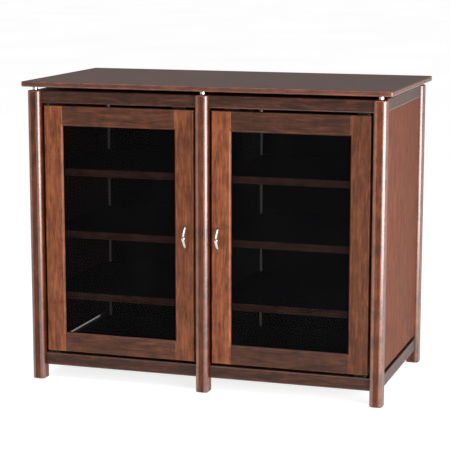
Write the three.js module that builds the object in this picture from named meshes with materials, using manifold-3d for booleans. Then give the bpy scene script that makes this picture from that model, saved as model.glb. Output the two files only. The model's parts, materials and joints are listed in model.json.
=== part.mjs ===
// A two-bay media cabinet: six round-cornered posts, rails between them, a top board
// that floats on metal standoffs, six adjustable shelves and two glazed doors on pivots.
// Millimetres, +Z up. The doors face -Y, +X is to the right seen from the front, and the
// origin is on the floor at the middle of the whole outline.
import * as THREE from 'three';
import { mergeVertices } from 'three/addons/utils/BufferGeometryUtils.js';
import Module from 'manifold-3d';

const wasm = await Module();
wasm.setup();

// ---- Driving dimensions ----

// Posts and case
const CASE_WIDTH = 1104; // over the outer faces of the end posts
const CASE_DEPTH = 586; // over the front and rear faces of the posts
const POST = 40; // side of a post's square section
const POST_ROUND = 12; // radius on a post's exposed corners
const POST_EASE = 4; // radius on a post's corners inside the case
const POST_END_EASE = 3; // chamfer at a post's top and foot
const POST_END_STEPS = 1; // facets across that chamfer
const POST_HEIGHT = 893;
const HALF_POST = POST / 2;

// Top board and the standoffs under it
const TOP_WIDTH = 1140;
const TOP_DEPTH = 592;
const TOP_THICK = 16;
const TOP_ROUND = 4; // rounding along the top board's edges
const TOP_CORNER = 8; // radius of the top board's four corners in plan
const TOP_ROUND_STEPS = 3; // facets across the rounding
const STANDOFF_HEIGHT = 11;
const STANDOFF_RADIUS = 8.5;
const STANDOFF_EASE = 1;

// Rails between the posts
const RAIL_HEIGHT = 38;
const RAIL_THICK = 23;
const RAIL_EASE = 2.5; // rounding on a rail's outer long edges
const LOWER_RAIL_Z = 44; // underside of the lower rails, above the floor
const SIDE_RAIL_THICK = 16;
const SIDE_RECESS = 10; // how far the side rails stand in from the posts' outer faces

// Boards of the case
const BOARD = 16; // thickness of the case bottom and the case top
const PARTITION_THICK = 18;
const PARTITION_HOUSING = 3; // how far the partition stands into the boards below and above it
const SIDE_PANEL_THICK = 12;
const SIDE_VENT = 12; // open slot under each side panel
const BACK_PANEL_THICK = 9;
const BACK_SLOT = 6; // open slot between a back panel and the post beside it
const SHELF_THICK = 22;
const SHELF_DEPTH = 490;
const SHELF_SETBACK = 52; // shelf's front edge behind the front of the posts
const SHELF_SIDE_GAP = 1.5;
const LOWEST_SHELF_Z = 270; // top face of the lowest shelf
const SHELF_PITCH = 192; // six steps of the 32 mm row of pin holes
const SHELF_LEVELS = ['lower', 'middle', 'upper'];
const SHELF_EASE = 2; // chamfer on a shelf's front edges

// Doors
const DOOR_THICK = 20;
const DOOR_SETBACK = 17; // door's face behind the front of the posts
const DOOR_SIDE_GAP = 7;
const DOOR_END_GAP = 7.5;
const FRAME_MEMBER = 60; // width of the door's stiles and rails
const DOOR_EASE = 3; // chamfer round the door's outside edges
const SIGHT_CHAMFER = 4; // chamfer round the glass opening
const REBATE_WIDTH = 8;
const REBATE_DEPTH = 12; // from the back of the door
const GLASS_THICK = 4;
const GLASS_GAP = 0.5; // glass edge to rebate
const BEAD_THICK = 5; // glazing bead, front to back

// Pivots, one at the top and one at the bottom of each door
const PIVOT_INSET = 10; // pin's axis from the door's hinge edge
const PIVOT_PIN_RADIUS = 3;
const PIVOT_PIN_LENGTH = 9;
const PIVOT_COLLAR_RADIUS = 7;
const PIVOT_COLLAR_HEIGHT = 3;
const PIVOT_PLATE_THICK = 2;
const PIVOT_PLATE_LENGTH = 40;
const PIVOT_PLATE_WIDTH = 16;
const PIVOT_PLATE_START = 2; // plate's near end from the door's hinge edge
const PIVOT_RUNNING_GAP = 0.3;
const PIVOT_PIN_EASE = 0.5;
const PIN_END_ROOM = 1; // room past the end of a pin in its hole

// Handles
const HANDLE_INSET = 24; // handle's centre line from the door's free edge
const HANDLE_HALF_SPAN = 33; // centre line of each foot from the handle's middle
const HANDLE_REACH = 34; // face of the door to the outside of the bend
const HANDLE_HALF_WIDTH = 5;
const HANDLE_HALF_THICK = 2.75;
const HANDLE_FOOT_SHARE = 0.35; // reach of the arms' outer ends, as a share of the whole reach
const HANDLE_BEND = 0.12; // softness of the bend between the arms, as a share of half the span
const HANDLE_CORNER_POWER = 8; // the higher, the tighter the corners above the feet
const HANDLE_STEPS = 20; // straight lengths along the bar
const HANDLE_CORNERS = 12; // corners round the bar's oval section

// Joinery
const FIT_GAP = 0.3; // clearance round a tenon or a panel edge in its groove
const CASE_TENON_LENGTH = 12;
const CASE_TENON_THICK = 8;
const CASE_TENON_SHOULDER = 6; // above and below the tenon
const PANEL_GROOVE = 6; // how far a panel's edge enters its groove
const DOOR_TENON_LENGTH = 30;
const DOOR_TENON_THICK = 8;
const DOOR_TENON_LOW = 10; // tenon's near edge from the rail's outer edge
const DOOR_TENON_HIGH = 48; // tenon's far edge from the rail's outer edge

// Facets, and the overrun of a cut
const ROUND_SEGMENTS = 24; // sides of a pin, a collar, a standoff or a round hole
const CORNER_SEGMENTS = 4; // facets on a rounded corner in plan
const OVERRUN = 1; // how far a cutting block runs past the face that it opens

// ---- Places worked out from the dimensions ----

// The handles reach furthest forward and the top board furthest back, and the origin
// is midway between them.
const TOP_OVERHANG_Y = (TOP_DEPTH - CASE_DEPTH) / 2;
const FRONT_Y = -(CASE_DEPTH + TOP_OVERHANG_Y + DOOR_SETBACK - HANDLE_REACH) / 2;
const BACK_Y = FRONT_Y + CASE_DEPTH;
const END_X = CASE_WIDTH / 2;
const END_POST_X = END_X - HALF_POST; // centre line of an end post
const BAY_INNER_X = HALF_POST; // the bay's two sides, between the posts
const BAY_OUTER_X = END_X - POST;
const INSIDE_FRONT_Y = FRONT_Y + POST;
const INSIDE_BACK_Y = BACK_Y - POST;
const INSIDE_MIDDLE_Y = (INSIDE_FRONT_Y + INSIDE_BACK_Y) / 2;
const LOWER_RAIL_TOP = LOWER_RAIL_Z + RAIL_HEIGHT;
const UPPER_RAIL_Z = POST_HEIGHT - RAIL_HEIGHT;
const RAIL_FRONT_Y = FRONT_Y + DOOR_SETBACK;
const SIDE_OUTER_X = END_X - SIDE_RECESS;
const SIDE_INNER_X = SIDE_OUTER_X - SIDE_RAIL_THICK;
const SIDE_MIDDLE_X = (SIDE_OUTER_X + SIDE_INNER_X) / 2;
const CASE_FLOOR_Z = LOWER_RAIL_TOP;
const CASE_CEILING_Z = POST_HEIGHT - BOARD;
const DOOR_WIDTH = BAY_OUTER_X - BAY_INNER_X - 2 * DOOR_SIDE_GAP;
const DOOR_BOTTOM_Z = LOWER_RAIL_TOP + DOOR_END_GAP;
const DOOR_HEIGHT = UPPER_RAIL_Z - DOOR_END_GAP - DOOR_BOTTOM_Z;
const PIVOT_X = BAY_OUTER_X - DOOR_SIDE_GAP - PIVOT_INSET;
const PIVOT_Y = RAIL_FRONT_Y + DOOR_THICK / 2;

// ---- Finishes ----

function finish(color, roughness, metalness) {
  return new THREE.MeshStandardMaterial({ color, roughness, metalness });
}

const cherry = () => finish(0x7b4529, 0.42, 0);
const cherryTop = () => finish(0x6c4336, 0.34, 0);
const cherryInside = () => finish(0x5a3322, 0.55, 0);
const nickel = () => finish(0xc9c6c0, 0.32, 1);
const steel = () => finish(0x9c9a97, 0.4, 1);
const smokedGlass = () => new THREE.MeshStandardMaterial({
  color: 0x0c0d0f, roughness: 0.05, metalness: 0, transparent: true, opacity: 0.7,
});
const blackVinyl = () => finish(0x141414, 0.6, 0);

// ---- Making solids ----

// A closed geometry as a solid that can be joined and cut.
function solidOf(geometry) {
  const bare = geometry.clone();
  bare.deleteAttribute('normal');
  bare.deleteAttribute('uv');
  const merged = mergeVertices(bare, 1e-4);
  return new wasm.Manifold(new wasm.Mesh({
    numProp: 3,
    vertProperties: new Float32Array(merged.attributes.position.array),
    triVerts: new Uint32Array(merged.index.array),
  }));
}

function geometryOf(solid) {
  const shell = solid.getMesh();
  const geometry = new THREE.BufferGeometry();
  geometry.setAttribute('position', new THREE.BufferAttribute(new Float32Array(shell.vertProperties), 3));
  geometry.setIndex(new THREE.BufferAttribute(new Uint32Array(shell.triVerts), 1));
  geometry.computeVertexNormals();
  return geometry;
}

// A plain box between two x, two y and two z values.
function block([x0, x1], [y0, y1], [z0, z1]) {
  const geometry = new THREE.BoxGeometry(Math.abs(x1 - x0), y1 - y0, z1 - z0);
  geometry.translate((x0 + x1) / 2, (y0 + y1) / 2, (z0 + z1) / 2);
  return solidOf(geometry);
}

function node(name, solid, material, x = 0, y = 0, z = 0) {
  const mesh = new THREE.Mesh(geometryOf(solid), material);
  mesh.name = name;
  mesh.position.set(x, y, z);
  return mesh;
}

// The outline of a rectangle about the origin, each corner with a radius of its own.
// The radii run front left, front right, back right, back left.
function roundedOutline(width, depth, [frontLeft, frontRight, backRight, backLeft]) {
  const right = width / 2;
  const back = depth / 2;
  const outline = new THREE.Shape();
  outline.absarc(-right + frontLeft, -back + frontLeft, frontLeft, Math.PI, Math.PI * 1.5);
  outline.absarc(right - frontRight, -back + frontRight, frontRight, Math.PI * 1.5, Math.PI * 2);
  outline.absarc(right - backRight, back - backRight, backRight, 0, Math.PI / 2);
  outline.absarc(-right + backLeft, back - backLeft, backLeft, Math.PI / 2, Math.PI);
  outline.closePath();
  return outline;
}

// An outline drawn upwards from z = 0, with its two end faces eased.
function easedExtrusion(outline, height, ease, easeSteps) {
  const geometry = new THREE.ExtrudeGeometry(outline, {
    depth: height - 2 * ease,
    bevelEnabled: true,
    bevelThickness: ease,
    bevelSize: ease,
    bevelOffset: -ease,
    bevelSegments: easeSteps,
    curveSegments: CORNER_SEGMENTS,
  });
  geometry.translate(0, 0, ease);
  return geometry;
}

// A round pin, collar or hole along +Z, from z0 to z1, with a small ease at its ends.
function roundBar(radius, z0, z1, ease = 0) {
  const profile = [
    new THREE.Vector2(0, z0),
    new THREE.Vector2(radius - ease, z0),
    new THREE.Vector2(radius, z0 + ease),
    new THREE.Vector2(radius, z1 - ease),
    new THREE.Vector2(radius - ease, z1),
    new THREE.Vector2(0, z1),
  ];
  const points = ease > 0 ? profile : profile.filter((point, i) => i !== 2 && i !== 3);
  const geometry = new THREE.LatheGeometry(points, ROUND_SEGMENTS);
  geometry.rotateX(Math.PI / 2);
  return geometry;
}

// A rail's bar with its two outer long edges chamfered. It runs along X from -length/2 to
// length/2, its outside face looks along -Y at y = 0, and its underside is at z = 0.
function railBar(length, thick, height) {
  const outline = new THREE.Shape();
  outline.moveTo(RAIL_EASE, 0);
  outline.lineTo(thick, 0);
  outline.lineTo(thick, height);
  outline.lineTo(RAIL_EASE, height);
  outline.lineTo(0, height - RAIL_EASE);
  outline.lineTo(0, RAIL_EASE);
  outline.closePath();
  const geometry = new THREE.ExtrudeGeometry(outline, { depth: length, bevelEnabled: false });
  // The outline's x becomes Y, its y becomes Z and the extrusion becomes X.
  geometry.translate(0, 0, -length / 2);
  geometry.rotateX(Math.PI / 2);
  geometry.rotateZ(Math.PI / 2);
  return solidOf(geometry);
}

// ---- Posts ----

// Where the rails and panels enter a post, all in one list of cutting blocks, in the
// post's own frame: its centre line is x = y = 0 and its foot is z = 0. toBay lists the
// sides that a front or rear rail enters (-1 left, 1 right), and inward is the direction
// in Y from the post towards the inside of the case.
function postCuts(toBay, inward, outerSide) {
  const cuts = [];
  const face = HALF_POST * inward;
  const mortiseEnd = (HALF_POST - CASE_TENON_LENGTH - FIT_GAP) * inward;
  const tenonMiddle = -inward * (HALF_POST - DOOR_SETBACK - RAIL_THICK / 2);
  const half = CASE_TENON_THICK / 2 + FIT_GAP;
  for (const railZ of [LOWER_RAIL_Z, UPPER_RAIL_Z]) {
    const low = railZ + CASE_TENON_SHOULDER - FIT_GAP;
    const high = railZ + RAIL_HEIGHT - CASE_TENON_SHOULDER + FIT_GAP;
    for (const side of toBay) {
      const xs = [side * (HALF_POST - CASE_TENON_LENGTH - FIT_GAP), side * (HALF_POST + OVERRUN)];
      cuts.push(block(xs, [tenonMiddle - half, tenonMiddle + half], [low, high]));
    }
    if (outerSide) {
      const middle = outerSide * (SIDE_MIDDLE_X - END_POST_X);
      const ys = [mortiseEnd, face + OVERRUN * inward].sort((a, b) => a - b);
      cuts.push(block([middle - half, middle + half], ys, [low, high]));
    }
  }
  const grooveEnd = (HALF_POST - PANEL_GROOVE - FIT_GAP) * inward;
  const grooveYs = [grooveEnd, face + OVERRUN * inward].sort((a, b) => a - b);
  if (outerSide) {
    const middle = outerSide * (SIDE_MIDDLE_X - END_POST_X);
    const halfPanel = SIDE_PANEL_THICK / 2 + FIT_GAP;
    const zs = [LOWER_RAIL_TOP + SIDE_VENT - FIT_GAP, UPPER_RAIL_Z + PANEL_GROOVE + FIT_GAP];
    cuts.push(block([middle - halfPanel, middle + halfPanel], grooveYs, zs));
  } else {
    const halfPanel = PARTITION_THICK / 2 + FIT_GAP;
    const past = PARTITION_HOUSING + FIT_GAP;
    cuts.push(block([-halfPanel, halfPanel], grooveYs, [CASE_FLOOR_Z - past, CASE_CEILING_Z + past]));
  }
  return cuts;
}

// A post: round corners outside, a small ease inside, eased ends, and its mortises.
function post(column, row) {
  const r = POST_ROUND;
  const inner = POST_EASE;
  const atEnd = column !== 0;
  // Corners in the order front left, front right, back right, back left.
  let corners;
  if (row < 0) {
    corners = [r, r, atEnd && column > 0 ? r : inner, atEnd && column < 0 ? r : inner];
  } else {
    corners = [atEnd && column < 0 ? r : inner, atEnd && column > 0 ? r : inner, r, r];
  }
  const outline = roundedOutline(POST, POST, corners);
  let solid = solidOf(easedExtrusion(outline, POST_HEIGHT, POST_END_EASE, POST_END_STEPS));
  const toBay = atEnd ? [-column] : [-1, 1];
  for (const cut of postCuts(toBay, -row, column)) {
    solid = solid.subtract(cut);
  }
  return solid;
}

const COLUMNS = [
  { name: 'left', column: -1, x: -END_POST_X },
  { name: 'centre', column: 0, x: 0 },
  { name: 'right', column: 1, x: END_POST_X },
];
const ROWS = [
  { name: 'front', row: -1, y: FRONT_Y + HALF_POST },
  { name: 'rear', row: 1, y: BACK_Y - HALF_POST },
];
const SIDES = [
  { name: 'left', side: -1 },
  { name: 'right', side: 1 },
];

const cabinet = new THREE.Group();
const caseGroup = new THREE.Group();
cabinet.add(caseGroup);

for (const { name: rowName, row, y } of ROWS) {
  for (const { name, column, x } of COLUMNS) {
    caseGroup.add(node(`post_${rowName}_${name}`, post(column, row), cherry(), x, y, 0));
  }
}

// ---- Front and rear rails ----

const BAY_WIDTH = BAY_OUTER_X - BAY_INNER_X;
const BAY_MIDDLE_X = (BAY_OUTER_X + BAY_INNER_X) / 2;

// A tenoned rail that spans one bay. Its outside face is at y = 0, looking along -Y.
function bayRail() {
  const bar = railBar(BAY_WIDTH, RAIL_THICK, RAIL_HEIGHT);
  const reach = BAY_WIDTH / 2 + CASE_TENON_LENGTH;
  const y0 = (RAIL_THICK - CASE_TENON_THICK) / 2;
  const zs = [CASE_TENON_SHOULDER, RAIL_HEIGHT - CASE_TENON_SHOULDER];
  return bar.add(block([-reach, reach], [y0, y0 + CASE_TENON_THICK], zs));
}

// The hole that a door's pivot pin turns in, through the rail's face next to the door.
function pivotHole(side, z0, z1) {
  const hole = roundBar(PIVOT_PIN_RADIUS + PIVOT_RUNNING_GAP, z0, z1);
  hole.translate(side * (PIVOT_X - BAY_MIDDLE_X), DOOR_THICK / 2, 0);
  return solidOf(hole);
}

const PIVOT_HEIGHT = PIVOT_PLATE_THICK + PIVOT_COLLAR_HEIGHT + PIVOT_PIN_LENGTH;
const PIN_SOCKET_DEPTH = PIVOT_HEIGHT - DOOR_END_GAP + PIN_END_ROOM;

for (const { name, side } of SIDES) {
  const x = side * BAY_MIDDLE_X;
  const lowerHole = pivotHole(side, RAIL_HEIGHT - PIN_SOCKET_DEPTH, RAIL_HEIGHT + OVERRUN);
  const upperHole = pivotHole(side, -OVERRUN, PIN_SOCKET_DEPTH);
  const lower = bayRail().subtract(lowerHole);
  const upper = bayRail().subtract(upperHole);
  caseGroup.add(node(`rail_front_lower_${name}`, lower, cherry(), x, RAIL_FRONT_Y, LOWER_RAIL_Z));
  caseGroup.add(node(`rail_front_upper_${name}`, upper, cherry(), x, RAIL_FRONT_Y, UPPER_RAIL_Z));
}

// The rear rails are the same bars turned to face the back, and hold the back panels.
const BACK_PANEL_WIDTH = BAY_WIDTH - 2 * BACK_SLOT;

function rearRail(grooveZ) {
  const y0 = (RAIL_THICK - BACK_PANEL_THICK) / 2 - FIT_GAP;
  const half = BACK_PANEL_WIDTH / 2 + FIT_GAP;
  const ys = [y0, y0 + BACK_PANEL_THICK + 2 * FIT_GAP];
  return bayRail().subtract(block([-half, half], ys, grooveZ)).rotate([0, 0, 180]);
}

for (const { name, side } of SIDES) {
  const x = side * BAY_MIDDLE_X;
  const y = BACK_Y - DOOR_SETBACK;
  const lower = rearRail([RAIL_HEIGHT - PANEL_GROOVE - FIT_GAP, RAIL_HEIGHT + OVERRUN]);
  const upper = rearRail([-OVERRUN, PANEL_GROOVE + FIT_GAP]);
  caseGroup.add(node(`rail_rear_lower_${name}`, lower, cherry(), x, y, LOWER_RAIL_Z));
  caseGroup.add(node(`rail_rear_upper_${name}`, upper, cherry(), x, y, UPPER_RAIL_Z));
}

// ---- Sides ----

const INSIDE_DEPTH = INSIDE_BACK_Y - INSIDE_FRONT_Y;

// A tenoned side rail. side is -1 for the left of the case and 1 for the right.
function sideRail(side) {
  const bar = railBar(INSIDE_DEPTH, SIDE_RAIL_THICK, RAIL_HEIGHT);
  const reach = INSIDE_DEPTH / 2 + CASE_TENON_LENGTH;
  const y0 = (SIDE_RAIL_THICK - CASE_TENON_THICK) / 2;
  const zs = [CASE_TENON_SHOULDER, RAIL_HEIGHT - CASE_TENON_SHOULDER];
  return bar.add(block([-reach, reach], [y0, y0 + CASE_TENON_THICK], zs)).rotate([0, 0, side * 90]);
}

for (const { name, side } of SIDES) {
  const x = side * SIDE_OUTER_X;
  const middleX = side * SIDE_MIDDLE_X;
  const halfPanel = SIDE_PANEL_THICK / 2;
  const grooveXs = [middleX - x - halfPanel - FIT_GAP, middleX - x + halfPanel + FIT_GAP];
  const groove = block(grooveXs, [-INSIDE_DEPTH, INSIDE_DEPTH], [-OVERRUN, PANEL_GROOVE + FIT_GAP]);
  const y = INSIDE_MIDDLE_Y;
  caseGroup.add(node(`rail_side_lower_${name}`, sideRail(side), cherry(), x, y, LOWER_RAIL_Z));
  const upperRail = sideRail(side).subtract(groove);
  caseGroup.add(node(`rail_side_upper_${name}`, upperRail, cherry(), x, y, UPPER_RAIL_Z));

  const reach = INSIDE_DEPTH / 2 + PANEL_GROOVE;
  const panelZ = LOWER_RAIL_TOP + SIDE_VENT;
  const panel = block([-halfPanel, halfPanel], [-reach, reach], [0, UPPER_RAIL_Z + PANEL_GROOVE - panelZ]);
  caseGroup.add(node(`side_panel_${name}`, panel, cherry(), middleX, y, panelZ));
}

// ---- Bottom, top and partition of the case, and the back panels ----

const halfPartition = PARTITION_THICK / 2;

// A board as wide and deep as the inside of the case, with the partition's housing in it.
function deck(housingZ) {
  const blank = block([-SIDE_INNER_X, SIDE_INNER_X], [-INSIDE_DEPTH / 2, INSIDE_DEPTH / 2], [0, BOARD]);
  const half = halfPartition + FIT_GAP;
  return blank.subtract(block([-half, half], [-INSIDE_DEPTH, INSIDE_DEPTH], housingZ));
}

const housingDepth = PARTITION_HOUSING + FIT_GAP;
const bottomBoard = deck([BOARD - housingDepth, BOARD + OVERRUN]);
const innerTopBoard = deck([-OVERRUN, housingDepth]);
caseGroup.add(node('case_bottom', bottomBoard, cherryInside(), 0, INSIDE_MIDDLE_Y, CASE_FLOOR_Z - BOARD));
caseGroup.add(node('case_top', innerTopBoard, cherryInside(), 0, INSIDE_MIDDLE_Y, CASE_CEILING_Z));

const partitionReach = INSIDE_DEPTH / 2 + PANEL_GROOVE;
const partition = block(
  [-halfPartition, halfPartition],
  [-partitionReach, partitionReach],
  [-PARTITION_HOUSING, CASE_CEILING_Z - CASE_FLOOR_Z + PARTITION_HOUSING],
);
caseGroup.add(node('partition', partition, cherryInside(), 0, INSIDE_MIDDLE_Y, CASE_FLOOR_Z));

for (const { name, side } of SIDES) {
  const y = BACK_Y - DOOR_SETBACK - RAIL_THICK / 2;
  const half = BACK_PANEL_WIDTH / 2;
  const halfThick = BACK_PANEL_THICK / 2;
  const zs = [-PANEL_GROOVE, UPPER_RAIL_Z - LOWER_RAIL_TOP + PANEL_GROOVE];
  const panel = block([-half, half], [-halfThick, halfThick], zs);
  caseGroup.add(node(`back_panel_${name}`, panel, cherryInside(), side * BAY_MIDDLE_X, y, LOWER_RAIL_TOP));
}

// ---- Shelves ----

const SHELF_X0 = halfPartition + SHELF_SIDE_GAP;
const SHELF_X1 = SIDE_MIDDLE_X - SIDE_PANEL_THICK / 2 - SHELF_SIDE_GAP;

// A shelf lies with its top face at z = 0 and its front edge, eased, at y = 0.
function shelf() {
  const width = SHELF_X1 - SHELF_X0;
  const outline = new THREE.Shape();
  outline.moveTo(SHELF_EASE, -SHELF_THICK);
  outline.lineTo(SHELF_DEPTH, -SHELF_THICK);
  outline.lineTo(SHELF_DEPTH, 0);
  outline.lineTo(SHELF_EASE, 0);
  outline.lineTo(0, -SHELF_EASE);
  outline.lineTo(0, SHELF_EASE - SHELF_THICK);
  outline.closePath();
  const geometry = new THREE.ExtrudeGeometry(outline, { depth: width, bevelEnabled: false });
  geometry.translate(0, 0, -width / 2);
  geometry.rotateX(Math.PI / 2);
  geometry.rotateZ(Math.PI / 2);
  return solidOf(geometry);
}

for (const { name, side } of SIDES) {
  const x = (side * (SHELF_X0 + SHELF_X1)) / 2;
  SHELF_LEVELS.forEach((levelName, level) => {
    const z = LOWEST_SHELF_Z + level * SHELF_PITCH;
    const label = `shelf_${name}_${levelName}`;
    caseGroup.add(node(label, shelf(), cherryInside(), x, FRONT_Y + SHELF_SETBACK, z));
  });
}

// ---- Top board on its standoffs ----

const topBoard = new THREE.Group();
topBoard.position.set(0, INSIDE_MIDDLE_Y, POST_HEIGHT);
cabinet.add(topBoard);

for (const { name: rowName, y } of ROWS) {
  for (const { name, x } of COLUMNS) {
    const bar = solidOf(roundBar(STANDOFF_RADIUS, 0, STANDOFF_HEIGHT, STANDOFF_EASE));
    topBoard.add(node(`standoff_${rowName}_${name}`, bar, nickel(), x, y - INSIDE_MIDDLE_Y, 0));
  }
}
const topOutline = roundedOutline(TOP_WIDTH, TOP_DEPTH, Array(4).fill(TOP_CORNER));
const board = solidOf(easedExtrusion(topOutline, TOP_THICK, TOP_ROUND, TOP_ROUND_STEPS));
topBoard.add(node('top_panel', board, cherryTop(), 0, 0, STANDOFF_HEIGHT));

// ---- Doors ----

const HALF_DOOR = DOOR_THICK / 2;
const OPENING_WIDTH = DOOR_WIDTH - 2 * FRAME_MEMBER;
const OPENING_HEIGHT = DOOR_HEIGHT - 2 * FRAME_MEMBER;

// A rectangle about the origin in X and Z, drawn along Y between y0 and y1, with its end
// edges sloped in by the given ease.
function plateAcross(width, height, y0, y1, ease = 0) {
  const outline = new THREE.Shape();
  outline.moveTo(-width / 2, -height / 2);
  outline.lineTo(width / 2, -height / 2);
  outline.lineTo(width / 2, height / 2);
  outline.lineTo(-width / 2, height / 2);
  outline.closePath();
  const geometry = new THREE.ExtrudeGeometry(outline, {
    depth: y1 - y0 - 2 * ease,
    bevelEnabled: ease > 0,
    bevelThickness: ease,
    bevelSize: ease,
    bevelOffset: -ease,
    bevelSegments: 1,
  });
  geometry.translate(0, 0, ease - (y1 - y0));
  geometry.rotateX(Math.PI / 2);
  geometry.translate(0, y0, 0);
  return solidOf(geometry);
}

// The four members of one door's frame, about the door's centre, its face looking along -Y.
// Every member is cut from the same eased blank, so the chamfers meet in mitres.
function doorMembers() {
  const blank = plateAcross(DOOR_WIDTH, DOOR_HEIGHT, -HALF_DOOR, HALF_DOOR, DOOR_EASE);
  const flareWidth = OPENING_WIDTH + 2 * SIGHT_CHAMFER;
  const flareHeight = OPENING_HEIGHT + 2 * SIGHT_CHAMFER;
  const flareYs = [-3 * HALF_DOOR, SIGHT_CHAMFER - HALF_DOOR];
  const flare = plateAcross(flareWidth, flareHeight, ...flareYs, SIGHT_CHAMFER);
  const rebateWidth = OPENING_WIDTH + 2 * REBATE_WIDTH;
  const rebateHeight = OPENING_HEIGHT + 2 * REBATE_WIDTH;
  const rebate = plateAcross(rebateWidth, rebateHeight, HALF_DOOR - REBATE_DEPTH, 2 * HALF_DOOR);
  const shaped = blank.subtract(flare).subtract(rebate);

  const halfWidth = DOOR_WIDTH / 2;
  const halfHeight = DOOR_HEIGHT / 2;
  const halfOpening = OPENING_WIDTH / 2;
  const halfTenon = DOOR_TENON_THICK / 2;
  const throughY = [-2 * HALF_DOOR, 2 * HALF_DOOR];
  const stiles = {};
  const rails = {};
  for (const side of [-1, 1]) {
    const xs = [side * halfOpening, side * halfWidth];
    let stile = shaped.intersect(block(xs, throughY, [-halfHeight, halfHeight]));
    for (const end of [-1, 1]) {
      const mortiseEnd = halfOpening + DOOR_TENON_LENGTH + FIT_GAP;
      const mortiseXs = [side * (halfOpening - OVERRUN), side * mortiseEnd];
      const zs = [
        end * (halfHeight - DOOR_TENON_LOW + FIT_GAP),
        end * (halfHeight - DOOR_TENON_HIGH - FIT_GAP),
      ].sort((a, b) => a - b);
      const ys = [-halfTenon - FIT_GAP, halfTenon + FIT_GAP];
      stile = stile.subtract(block(mortiseXs, ys, zs));
    }
    stiles[side] = stile;
  }
  for (const end of [-1, 1]) {
    const zs = [end * (halfHeight - FRAME_MEMBER), end * halfHeight].sort((a, b) => a - b);
    const bar = shaped.intersect(block([-halfOpening, halfOpening], throughY, zs));
    const tenonZs = [
      end * (halfHeight - DOOR_TENON_LOW),
      end * (halfHeight - DOOR_TENON_HIGH),
    ].sort((a, b) => a - b);
    const reach = halfOpening + DOOR_TENON_LENGTH;
    rails[end] = bar.add(block([-reach, reach], [-halfTenon, halfTenon], tenonZs));
  }
  return { stiles, rails };
}

// The glass and the bead that holds it, about the door's centre.
function glassPane() {
  const width = OPENING_WIDTH + 2 * (REBATE_WIDTH - GLASS_GAP);
  const height = OPENING_HEIGHT + 2 * (REBATE_WIDTH - GLASS_GAP);
  const y0 = HALF_DOOR - REBATE_DEPTH;
  return plateAcross(width, height, y0, y0 + GLASS_THICK);
}

function glazingBead() {
  const y0 = HALF_DOOR - REBATE_DEPTH + GLASS_THICK;
  const width = OPENING_WIDTH + 2 * (REBATE_WIDTH - GLASS_GAP);
  const height = OPENING_HEIGHT + 2 * (REBATE_WIDTH - GLASS_GAP);
  const ring = plateAcross(width, height, y0, y0 + BEAD_THICK);
  return ring.subtract(plateAcross(OPENING_WIDTH, OPENING_HEIGHT, y0 - OVERRUN, y0 + BEAD_THICK + OVERRUN));
}

// How far the handle's bar stands off the door, as a share of its whole reach. The place
// runs from -1 at one foot to 1 at the other.
function handleStandOff(place) {
  const slope = Math.hypot(place, HANDLE_BEND) - HANDLE_BEND;
  const fallOff = slope / (Math.hypot(1, HANDLE_BEND) - HANDLE_BEND);
  const foot = Math.cbrt(1 - Math.abs(place) ** HANDLE_CORNER_POWER);
  return (1 - (1 - HANDLE_FOOT_SHARE) * fallOff) * foot;
}

// A bar pull about its own middle: two nearly straight arms that meet in a soft bend. Its
// feet stand on the plane y = 0 and the arms reach along -Y. The bar is swept a little past
// its feet and then cut off flat.
function handle() {
  const barReach = HANDLE_REACH - HANDLE_HALF_THICK;
  const points = [new THREE.Vector3(0, HANDLE_HALF_THICK, -HANDLE_HALF_SPAN)];
  for (let i = 0; i <= HANDLE_STEPS; i += 1) {
    const place = -Math.cos((Math.PI * i) / HANDLE_STEPS);
    points.push(new THREE.Vector3(0, -barReach * handleStandOff(place), HANDLE_HALF_SPAN * place));
  }
  points.push(new THREE.Vector3(0, HANDLE_HALF_THICK, HANDLE_HALF_SPAN));
  const section = new THREE.Shape();
  section.absellipse(0, 0, HANDLE_HALF_WIDTH, HANDLE_HALF_THICK, 0, Math.PI * 2);
  const bar = new THREE.ExtrudeGeometry(section, {
    steps: HANDLE_STEPS + 2,
    curveSegments: HANDLE_CORNERS / 2,
    bevelEnabled: false,
    extrudePath: new THREE.CatmullRomCurve3(points),
  });
  const half = HANDLE_HALF_SPAN + 2 * HANDLE_HALF_WIDTH;
  return solidOf(bar).intersect(block([-half, half], [-2 * HANDLE_REACH, 0], [-half, half]));
}

// The pivot on a door's end: a plate, a collar and the pin, standing up from z = 0.
function doorPivot(towardsDoor) {
  const x0 = towardsDoor * (PIVOT_PLATE_START - PIVOT_INSET);
  const x1 = x0 + towardsDoor * PIVOT_PLATE_LENGTH;
  const halfWidth = PIVOT_PLATE_WIDTH / 2;
  const collarTop = PIVOT_PLATE_THICK + PIVOT_COLLAR_HEIGHT;
  const plate = block([x0, x1], [-halfWidth, halfWidth], [0, PIVOT_PLATE_THICK]);
  const root = PIVOT_PLATE_THICK / 2;
  const collar = solidOf(roundBar(PIVOT_COLLAR_RADIUS, root, collarTop));
  const pin = solidOf(roundBar(PIVOT_PIN_RADIUS, root, collarTop + PIVOT_PIN_LENGTH, PIVOT_PIN_EASE));
  return plate.add(collar).add(pin);
}

// The plate on the rail that the pin passes through, with its face on the rail at z = 0
// and its thickness below.
function railPivotPlate(towardsDoor) {
  const x0 = towardsDoor * (PIVOT_PLATE_START - PIVOT_INSET);
  const x1 = x0 + towardsDoor * PIVOT_PLATE_LENGTH;
  const halfWidth = PIVOT_PLATE_WIDTH / 2;
  const plate = block([x0, x1], [-halfWidth, halfWidth], [-PIVOT_PLATE_THICK, 0]);
  const hole = roundBar(PIVOT_PIN_RADIUS + PIVOT_RUNNING_GAP, -2 * PIVOT_PLATE_THICK, PIVOT_PLATE_THICK);
  return plate.subtract(solidOf(hole));
}

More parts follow.
